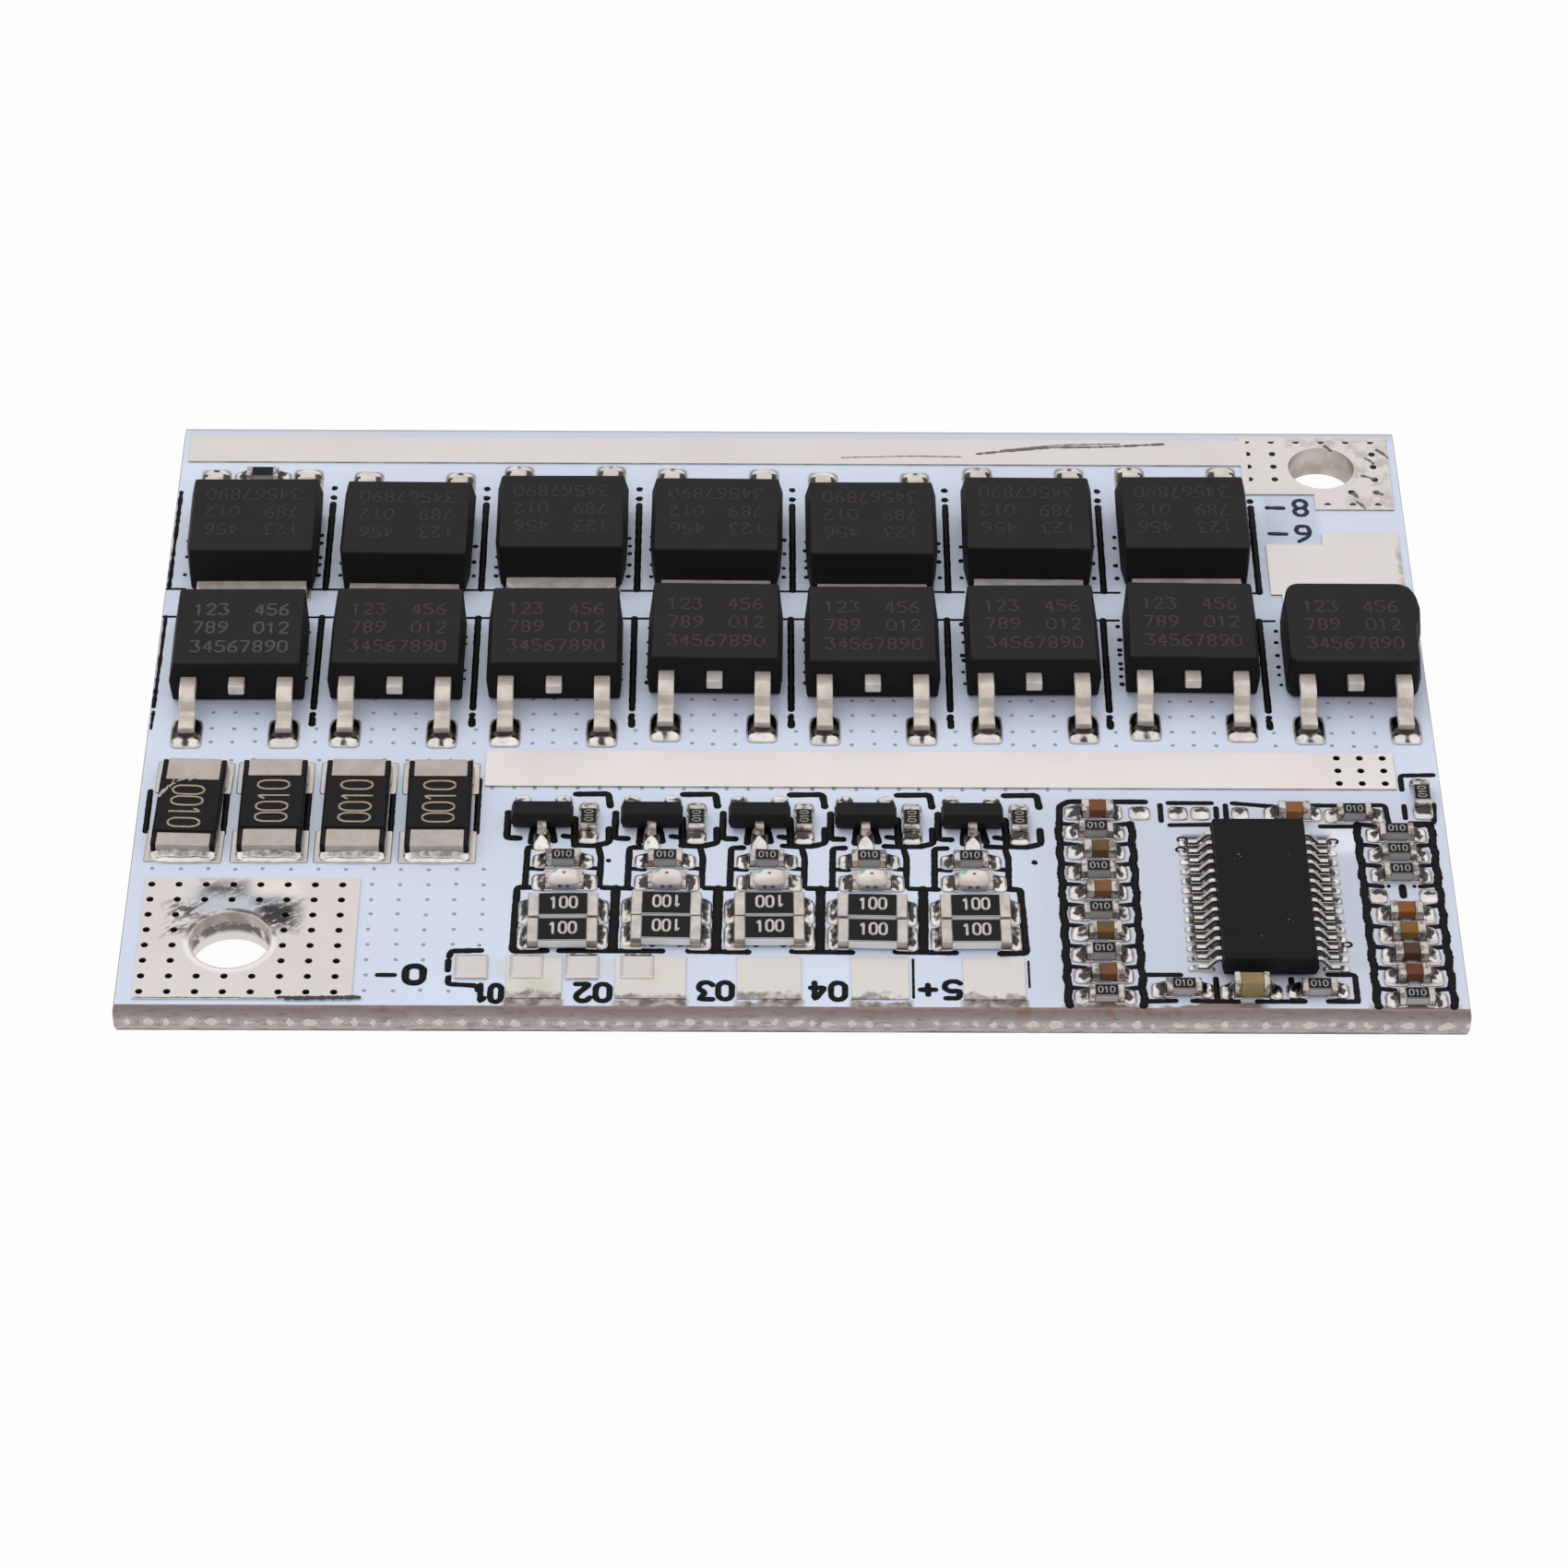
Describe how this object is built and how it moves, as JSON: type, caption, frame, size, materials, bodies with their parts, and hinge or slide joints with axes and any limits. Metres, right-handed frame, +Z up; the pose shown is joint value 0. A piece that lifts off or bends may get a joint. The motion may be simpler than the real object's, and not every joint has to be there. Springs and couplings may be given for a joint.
{
  "type": "battery management board",
  "caption": "White circuit board with two facing rows of power transistors, current shunts, balancing channels, a controller chip, tinned busbars and holed terminal lands.",
  "frame": {"origin": "middle of the board's flat underside", "axes": "+X along the transistor rows, +Y from the cell tap edge to the charger busbar, +Z up out of the side that carries the parts"},
  "size_m": [0.061, 0.0422, 0.0039],
  "materials": {
    "laminate": "satin white solder mask over glass-fibre laminate",
    "tinned_copper": "satin",
    "solder": "gloss",
    "lead_metal": "satin",
    "end_cap": "satin",
    "moulding": "matte",
    "shunt_coat": "satin",
    "lens": "gloss",
    "resistor_coat": "satin",
    "capacitor_ceramic": "satin"
  },
  "bodies": {
    "root": {"circuit_board": "laminate", "battery_terminal_land": "tinned_copper", "charger_terminal_land": "tinned_copper", "front_busbar": "tinned_copper", "pack_terminal_land": "tinned_copper", "cell_tap_pads": "tinned_copper", "component_pads": "tinned_copper", "solder_joints": "solder", "mosfet_body_01": "moulding", "mosfet_body_02": "moulding", "mosfet_body_03": "moulding", "mosfet_body_04": "moulding", "mosfet_body_05": "moulding", "mosfet_body_06": "moulding", "mosfet_body_07": "moulding", "mosfet_body_08": "moulding", "mosfet_body_09": "moulding", "mosfet_body_10": "moulding", "mosfet_body_11": "moulding", "mosfet_body_12": "moulding", "mosfet_body_13": "moulding", "mosfet_body_14": "moulding", "mosfet_body_15": "moulding", "mosfet_frame_01": "lead_metal", "mosfet_frame_02": "lead_metal", "mosfet_frame_03": "lead_metal", "mosfet_frame_04": "lead_metal", "mosfet_frame_05": "lead_metal", "mosfet_frame_06": "lead_metal", "mosfet_frame_07": "lead_metal", "mosfet_frame_08": "lead_metal", "mosfet_frame_09": "lead_metal", "mosfet_frame_10": "lead_metal", "mosfet_frame_11": "lead_metal", "mosfet_frame_12": "lead_metal", "mosfet_frame_13": "lead_metal", "mosfet_frame_14": "lead_metal", "mosfet_frame_15": "lead_metal", "shunt_1": "shunt_coat", "shunt_2": "shunt_coat", "shunt_3": "shunt_coat", "shunt_4": "shunt_coat", "shunt_end_caps": "end_cap", "controller_body": "moulding", "controller_leads": "lead_metal", "switch_body_1": "moulding", "switch_body_2": "moulding", "switch_body_3": "moulding", "switch_body_4": "moulding", "switch_body_5": "moulding", "switch_leads": "lead_metal", "balance_led_1": "lens", "balance_led_2": "lens", "balance_led_3": "lens", "balance_led_4": "lens", "balance_led_5": "lens", "bleed_resistors": "resistor_coat", "chip_resistors": "resistor_coat", "chip_capacitors": "capacitor_ceramic", "chip_end_caps": "end_cap"}
  },
  "joints": []
}
